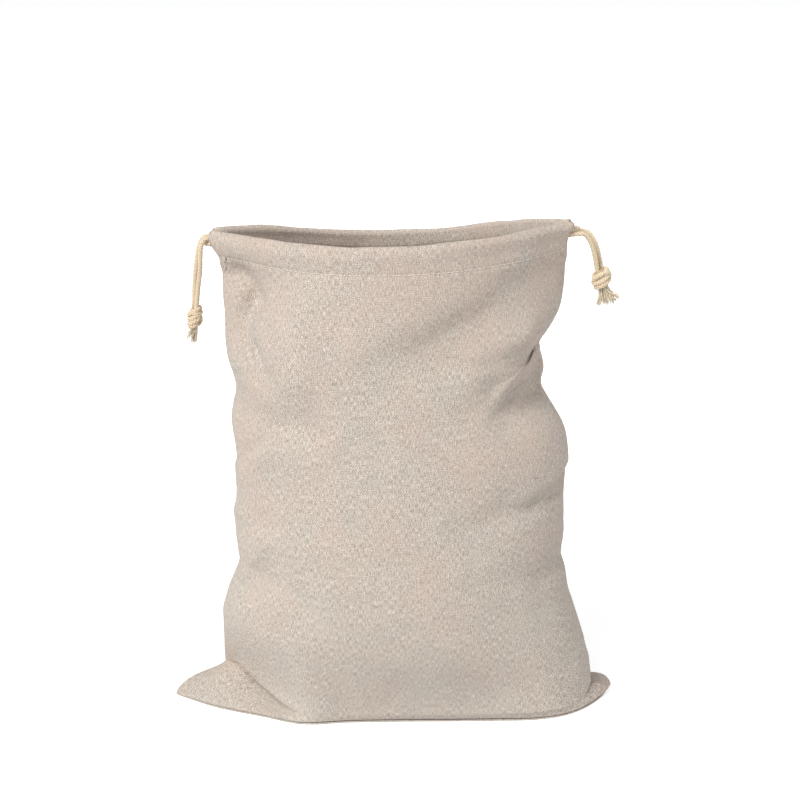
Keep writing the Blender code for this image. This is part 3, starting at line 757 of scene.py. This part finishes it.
# %% Build the panels
FOLD_LINES = {  # each panel's folds: kind, width to the left and to the right of the line as it is drawn, and
    # the line's points: x, z (y on a flat corner) and height, all in millimetres
    "front": [
        ("soft", 8, 8, [(97, 247, 2), (84, 240, 5), (66, 229, 3.5)]),
        ("soft", 7, 7, [(99, 221, 1.5), (84, 218, 1.5)]),
        ("sharp", 10, 1.6, [(60, 216, 0.2), (67, 224, 1.2), (75, 234, 2.4), (83, 241, 3), (90, 246, 2.4),
            (98, 251, 0.6)]),
        ("soft", 19, 5.5, [(101, 240, -3), (94, 236, -7), (85, 230, -9.5), (76, 222, -7.5), (69, 213, -4),
            (60, 203, 0)]),
        ("sharp", 13, 6, [(-108, 310, 0), (-100, 299, -2.8), (-93, 290, -5.8), (-92, 283, -6),
            (-98, 272, -5), (-98, 260, -5), (-92, 251, -5.6), (-84, 238, -4.2), (-82, 230, -1)]),
        ("soft", 16, 16, [(-46, 304, 1), (-56, 282, 4), (-61, 262, 5), (-65, 238, 4), (-71, 220, 1)]),
        ("soft", 15, 15, [(10, 274, 3), (-22, 250, 4.2)]),
        ("soft", 28, 12, [(106, 312, 0), (88, 298, -3.2), (72, 286, -5), (55, 275, -6.4), (30, 264, -7),
            (8, 253, -5.8), (-14, 242, -2.2), (-34, 232, 0)]),
        ("sharp", 2.6, 1.6, [(114, 166, -2.6), (101, 159, -2.4), (88, 151, -1.6)]),
        ("sharp", 2, 7, [(114, 172, 1.2), (100, 164, 1.2), (86, 156, 0.8)]),
        ("soft", 6, 7, [(86, 151, -0.8), (68, 147, -1), (55, 144, -0.8), (41, 141, 0)]),
        ("sharp", 9, 3, [(-103, 175, -2), (-92, 189, -4), (-84, 198, -4), (-76, 205, -3), (-60, 206, -1.4),
            (-46, 200, -0.8)]),
        ("sharp", 4, 7, [(-99, 168, 1.4), (-90, 180, 2.4), (-81, 188, 2.4), (-71, 200, 1)]),
        ("soft", 8, 5, [(-104, 132, -2.4), (-90, 138, -3), (-77, 137, -1.4)]),
        ("sharp", 9, 5, [(-102, 94, 0), (-92, 113, 2.6), (-85, 122, 2.4), (-72, 140, 0)]),
        ("sharp", 6, 2.2, [(99, 104, 0.5), (112, 108, 1.4)]),
        ("soft", 5, 9, [(108, 119, -1.4), (101, 108, -1.4), (100, 84, -0.6)]),
        ("sharp", 3.5, 7, [(127, 42, 1.2), (122, 14, 0.8)]),
        ("corner", 1.4, 4.5, [(136, -7, 4.6), (151, 3, 2.6)]),
        ("corner", 2, 2, [(139, 0, -1.6), (150, 8, -1)]),
        ("corner", 3, 3.4, [(-117, 13, 4), (-112, 8, 3)]),
    ],
    "back": [
        ("sharp", 3, 12, [(92, 246, 2), (54, 214, 0.8)]),
        ("sharp", 12, 3.5, [(-92, 254, 1.6), (-50, 220, 0.8)]),
        ("sharp", 10, 3.5, [(-104, 104, 1.6), (-60, 126, 0.6)]),
    ],
}
UNEVEN = [(0.55, 38, 52), (0.28, 17, 23), (0.10, 7, 8)]  # lumps: height, size along u and v, mm
GROOVE, PUCKER, CORD_BULGE = 0.62, 0.26, 1.0  # heights at the hem's stitches and over the cords, mm
EAR_CREASES = [(-1, 0.40, 2.8, 1.6), (1, 0.72, 1.6, 1.4)]  # end, start, swell of the body, dip of the corner
SIDE_TURN, FOOT_TURN = 1.1, 0.42  # how far the cloth turns in along its seams, mm
COLUMNS, BODY_ROWS, CASING_ROWS, FOLD_STEPS = 188, 176, 15, 8
EAR_ROWS = {"front": 16, "back": 24}  # below the body
EVEN_SHARE, SINE_SHARE = 0.86, 0.14  # columns lie a little closer together at the sides
HEM_DEPTH = 1.17 * CASING_DEPTH  # where the casing's inner layer ends
PINCH_HEIGHT = 236 * MM  # of the folds at the right side
MIDDLE_ROW, GIRTH_ROW = 60, 90  # where the threads are centred, and where a row is measured
ALLOWANCE = np.array([0.7, 1.8, 3.4, 5.0, 6.6]) * MM


def row_stations(top):
    """Where the body's rows lie: closest at the foot's crease, and closer where the right side folds in."""
    at = np.linspace(0, top, 2000)
    spacing = 2.3 - 1.6 * np.exp(-at / (14 * MM)) - 0.9 * bell(at - PINCH_HEIGHT, 24 * MM)
    count = np.concatenate([[0], np.cumsum(1 / spacing[1:])])
    return np.interp(np.linspace(0, count[-1], BODY_ROWS, endpoint=False), count, at)


def panel_rows(side, across):
    """Every row of one panel with its station: its height, or BODY_HEIGHT plus its depth in the casing."""
    radius = CASING_THICK / 2
    low = BODY_HEIGHT - HEM_DEPTH
    rows = foot_rows(side, across, EAR_ROWS[side])
    stations = [0.0] * len(rows)
    outside = np.concatenate([row_stations(low), np.linspace(low, BODY_HEIGHT - radius, CASING_ROWS)])
    for station in outside:
        rows.append(body_row(side, station, across)[0])
        stations.append(station)
    top, inward = body_row(side, BODY_HEIGHT - radius, across)
    for step in range(1, FOLD_STEPS):
        angle = math.pi * step / FOLD_STEPS
        rise = np.array([0, 0, radius * math.sin(angle)])
        rows.append(top + inward * radius * (1 - math.cos(angle)) + rise)
        stations.append(BODY_HEIGHT)
    for depth in np.linspace(radius, HEM_DEPTH, CASING_ROWS):
        points, inward = body_row(side, BODY_HEIGHT - depth, across)
        rows.append(points + inward * casing_offset(depth))
        stations.append(BODY_HEIGHT + depth)
    return np.array(rows), np.array(stations)


def grid_normals(points):
    """The normal at each point of a grid, from the cross product of its two directions."""
    return unit(np.cross(np.gradient(points, axis=1), np.gradient(points, axis=0)))


def small_relief(side, stations, u, v):
    """How far the cloth stands out or in: its unevenness, the hem's groove and the puckers beside it."""
    seed = 3 if side == "front" else 5
    uneven = sum(tall * soft_noise(u / (wide * MM), v / (high * MM), seed + k)
                 for k, (tall, wide, high) in enumerate(UNEVEN))
    below = np.abs(stations - BODY_HEIGHT)[:, None]
    line = below - CASING_DEPTH
    wave = np.sin(u / MM * 0.62 + 2.2 * soft_noise(u / (14 * MM), v * 0, seed + 3))
    pucker = PUCKER * wave * np.exp(-np.abs(line) / (5 * MM)) - GROOVE * bell(line, 1.0 * MM)
    over_cords = CORD_BULGE * bell(below - 6.0 * MM, 5.5 * MM) * (stations <= BODY_HEIGHT)[:, None]
    return (uneven + pucker + over_cords) * MM


def creases(side, points, stations):
    """Folds along drawn lines, each with its own width on either side. A sharp one is height times e to the
    power -distance / width, and so is one on a flat corner. A soft one is height times a bell curve."""
    total = np.zeros(points.shape[:2])
    on_body = smooth((stations - 4 * MM) / (8 * MM)) * smooth((BODY_HEIGHT - 14 * MM - stations) / (12 * MM))
    for kind, left, right, line in FOLD_LINES[side]:
        flat = kind == "corner"
        x, w = points[:, :, 0] / MM, points[:, :, 1 if flat else 2] / MM
        nearest, tall, width = np.full(x.shape, np.inf), np.zeros(x.shape), np.full(x.shape, left)
        for (x0, w0, tall0), (x1, w1, tall1) in zip(line[:-1], line[1:]):
            run_x, run_w = x1 - x0, w1 - w0
            t = np.clip(((x - x0) * run_x + (w - w0) * run_w) / (run_x**2 + run_w**2), 0, 1)
            gap = np.hypot(x - x0 - t * run_x, w - w0 - t * run_w)
            nearer = gap < nearest
            side_width = np.where(run_x * (w - w0) > run_w * (x - x0), left, right)
            nearest = np.where(nearer, gap, nearest)
            tall = np.where(nearer, tall0 + (tall1 - tall0) * t, tall)
            width = np.where(nearer, side_width, width)
        gap = np.sqrt(nearest**2 + 0.5**2) - 0.5
        shape = bell(gap, width) if kind == "soft" else np.exp(-gap / width)
        here = (stations <= 0.5 * MM) if flat else on_body
        total += tall * MM * shape * here[:, None]
    return total


def foot_crease(points, stations, across):
    """The crease between the front's flat corners and its body: the body swells and the corner dips."""
    swell = (1 - np.exp(-stations / (1.0 * MM))) * np.exp(-stations / (6 * MM))
    first = int(np.argmax(stations > 0)) - 1
    dip = np.zeros(points.shape[:2])
    dip[first::-1] = np.exp(-distances(points[first::-1]) / (2.6 * MM))
    total = np.zeros_like(dip)
    for end, start, up, down in EAR_CREASES:
        here = smooth((across * end - start) / 0.12) * smooth((1 - across * end) / 0.05)
        total += here * (up * swell[:, None] - down * dip)
    return total * MM


def edge_turn(points, stations, across):
    """How far the cloth turns in along its seams: at both sides, and along the bottom seam."""
    from_side = (1 - np.abs(across)) / 2 * distances(points, 1)[:, -1:]
    flat_corner = smooth(1 - stations / (12 * MM))[:, None]
    on_body = SIDE_TURN * bell(from_side, 1.5 * MM) * (1 - 0.62 * flat_corner)
    beside_casing = smooth((stations - (BODY_HEIGHT - 30 * MM)) / (8 * MM))[:, None]
    return -(on_body * (1 - beside_casing) + FOOT_TURN * bell(distances(points), 1.6 * MM)) * MM


def allowance(points, normals, stations, end):
    """The cloth past a side seam: it runs straight into the bag, and lies back flat beside the casing."""
    last, before = (0, 1) if end < 0 else (-1, -2)
    edge, before, normal = points[:, last], points[:, before], normals[:, last]
    out = unit(edge - before)
    length = (0.05 + 0.95 * smooth((stations - 6 * MM) / (24 * MM)))[:, None, None]
    back = smooth((stations - (BODY_HEIGHT - 38 * MM)) / (14 * MM))[:, None, None]
    reach = ALLOWANCE[None, :, None] * length
    straight = -normal[:, None] * reach
    folded = -out[:, None] * reach - normal[:, None] * 1.05 * MM * smooth(reach / (0.9 * MM))
    return edge[:, None] + straight * (1 - back) + folded * back


def upright_threads(points, across):
    """Where each point lies across the flat cloth. Beside a seam it keeps to its column, and nearer the
    middle it is measured along the row from x = 0, so that the threads stay upright there."""
    along = distances(points, 1)
    middle = np.array([np.interp(0.0, row[:, 0], place) for row, place in zip(points, along)])
    scale = 2 * FLAT_HALF_WIDTH / np.median(along[:, -1])
    centre = np.interp(0.0, points[MIDDLE_ROW, :, 0], across) * FLAT_HALF_WIDTH
    measured = (along - middle[:, None]) * scale + centre
    held = smooth((np.abs(across) - 0.45) / 0.5)
    return measured * (1 - held) + across * FLAT_HALF_WIDTH * held


def panel_piece(side):
    """One panel of the bag with its casing and its seam allowances."""
    across = np.linspace(-1, 1, COLUMNS)
    across = EVEN_SHARE * across + SINE_SHARE * np.sin(across * math.pi / 2)
    points, stations = panel_rows(side, across)
    normals = grid_normals(points) * FACING[side]
    v = distances(points)
    column_length = v[-1].mean()
    v -= v[int(np.searchsorted(stations, BODY_HEIGHT))]
    u = upright_threads(points, across)
    from_seam = 1 - np.abs(across)
    lift = small_relief(side, stations, u, v) * smooth(from_seam / 0.03)
    lift = lift * np.clip(stations / (10 * MM), 0.15, 1)[:, None] + edge_turn(points, stations, across)
    lift += creases(side, points, stations) * smooth(from_seam / 0.032)
    if side == "front":
        lift += foot_crease(points, stations, across)
    points = points + normals * lift[:, :, None]
    casings[side] = points, stations
    ends = [allowance(points, normals, stations, end) for end in (-1, 1)]
    points = np.concatenate([ends[0][:, ::-1], points, ends[1]], axis=1)
    more = ALLOWANCE + FLAT_HALF_WIDTH
    u = np.concatenate([np.tile(-more[::-1], (len(u), 1)), u, np.tile(more, (len(u), 1))], axis=1)
    v = np.pad(v, ((0, 0), (len(more), len(more))), mode="edge")
    faces = grid_faces(*points.shape[:2])
    if side == "front":
        faces = [face[::-1] for face in faces]
    print(side, "panel grid", points.shape[:2], "column length", round(column_length, 4),
          "row length", round(distances(points[GIRTH_ROW])[-1], 4))
    uvs = np.stack([u, v], axis=-1).reshape(-1, 2)
    piece = add_piece(f"{side}_panel_cloth", points.reshape(-1, 3), faces, uvs, linen, "linen_cloth")
    cloth = piece.modifiers.new("cloth", "SOLIDIFY")
    cloth.thickness = CLOTH
    cloth.offset = 0
    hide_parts(f"{side}_panel")
    return piece


casings = {}  # each panel's finished grid, which its stitches lie on
panels = {side: panel_piece(side) for side in ("front", "back")}

# %% [markdown]
# ## The hem's stitches
# A lockstitch shows as a row of short threads with a small gap between, sunk a little into the cloth. It is
# sewn through both layers of the casing, so it shows outside the bag and inside it.

# %% Sew the hems
STITCH, STITCH_GAP = 2.6 * MM, 0.5 * MM
STITCH_RISE, STITCH_SINK, STITCH_RADIUS = 0.42 * MM, 0.16 * MM, 0.28 * MM


def stitch_row(line, normal):
    """Stitches along a line of points: each is a short bar whose ends dip into the cloth."""
    along = distances(line)
    count = int(along[-1] / (STITCH + STITCH_GAP))
    start = (np.arange(count) + 0.25)[:, None] * (STITCH + STITCH_GAP)
    t = np.linspace(0, 1, 6)
    at = start + t * STITCH
    place, out = read_at(at, along, line), unit(read_at(at, along, normal))
    arch = np.sin(math.pi * t) ** 0.5
    width = STITCH_RADIUS * (0.55 + 0.45 * arch)
    return tubes(place + out * (arch * STITCH_RISE - STITCH_SINK)[:, None], out, width, width, 6)


def hem_line(side, station):
    """The finished cloth and its outer normal along one station of the casing, away from the seams."""
    points, stations = casings[side]
    row = int(np.searchsorted(stations, station)) - 1
    t = (station - stations[row]) / (stations[row + 1] - stations[row])
    line = points[row] * (1 - t) + points[row + 1] * t
    normals = unit(np.cross(np.gradient(points[row: row + 2], axis=1), points[row + 1] - points[row]))[0]
    return line[3:-3], normals[3:-3] * FACING[side]


def hem_stitches(side):
    """The line of stitches of one casing, outside and inside."""
    rows = []
    for station in (BODY_HEIGHT - CASING_DEPTH, BODY_HEIGHT + CASING_DEPTH):
        line, normal = hem_line(side, station)
        rows.append(stitch_row(line + normal * (CLOTH / 2 - 0.06 * MM), normal))
    return add_piece(f"{side}_hem_stitches", *joined(rows), thread, "cotton_cord")


stitches = {side: hem_stitches(side) for side in ("front", "back")}

# %% [markdown]
# ## Floor and light
# The bag is shown as in a studio: a white floor that runs to the horizon, and a bright surround that lights
# the cloth more from below than from above, as a pale table does. One large soft light comes from the left in
# front, which leaves the right side a little darker, and a weak one from the right softens its shade.

# %% Set the stage
FLOOR_REACH, FLOOR_WHITE, FLOOR_GLOW = 400.0, (0.93, 0.93, 0.93, 1), 0.45
SKY = (0.985, 0.99, 1.0, 1)
LIGHT_BELOW, LIGHT_ABOVE, LIGHT_SEEN = 1.14, 0.40, 1.0  # the surround: as it lights, and as it shows


def white_floor():
    """A plain pale floor, wide enough for every view. The surround gives the light that it would return."""
    mesh = bpy.data.meshes.new("floor")
    corners = [(x * FLOOR_REACH, y * FLOOR_REACH, 0) for x, y in ((-1, -1), (1, -1), (1, 1), (-1, 1))]
    mesh.from_pydata(corners, [], [(0, 1, 2, 3)])
    white = Recipe(bpy.data.materials.new("floor_white")).shade({
        "Base Color": FLOOR_WHITE, "Roughness": 0.9, "Emission Color": (1, 1, 1, 1),
        "Emission Strength": FLOOR_GLOW})
    mesh.materials.append(white)
    floor = placed("floor", mesh)
    floor.visible_diffuse = False


def soft_sun(name, direction, strength, spread, colour):
    """Even light that comes along a direction, from a patch of sky this many degrees wide."""
    light = bpy.data.lights.new(name, "SUN")
    light.energy = strength
    light.angle = math.radians(spread)
    light.color = colour
    x, y, z = direction
    placed(name, light).rotation_euler = (math.atan2(math.hypot(x, y), -z), 0, math.atan2(y, x) - math.pi / 2)


def studio_world():
    """The surround: its strength rises from LIGHT_ABOVE to LIGHT_BELOW as its direction turns down, and the
    camera sees it evenly white."""
    studio = Recipe(bpy.data.worlds.new("studio"), "Background")
    direction = studio.node("ShaderNodeTexCoord", {}, {})
    upward = studio.node("ShaderNodeSeparateXYZ", {}, {0: direction}, output=2)
    around = studio.node("ShaderNodeMapRange", {}, {
        "Value": upward, "From Min": -1.0, "To Min": LIGHT_BELOW, "To Max": LIGHT_ABOVE})
    camera_ray = studio.node("ShaderNodeLightPath", {}, {})
    strength = studio.node("ShaderNodeMapRange", {}, {
        "Value": camera_ray, "To Min": around, "To Max": LIGHT_SEEN})
    return studio.shade({"Color": SKY, "Strength": strength})


white_floor()
soft_sun("key", (0.50, 0.60, -0.62), strength=3.3, spread=30, colour=(1.0, 0.99, 0.98))
soft_sun("fill", (-0.85, 0.30, -0.43), strength=0.7, spread=60, colour=(1.0, 1.0, 1.0))
bpy.context.scene.world = studio_world()
bpy.context.scene.view_settings.view_transform = "Standard"
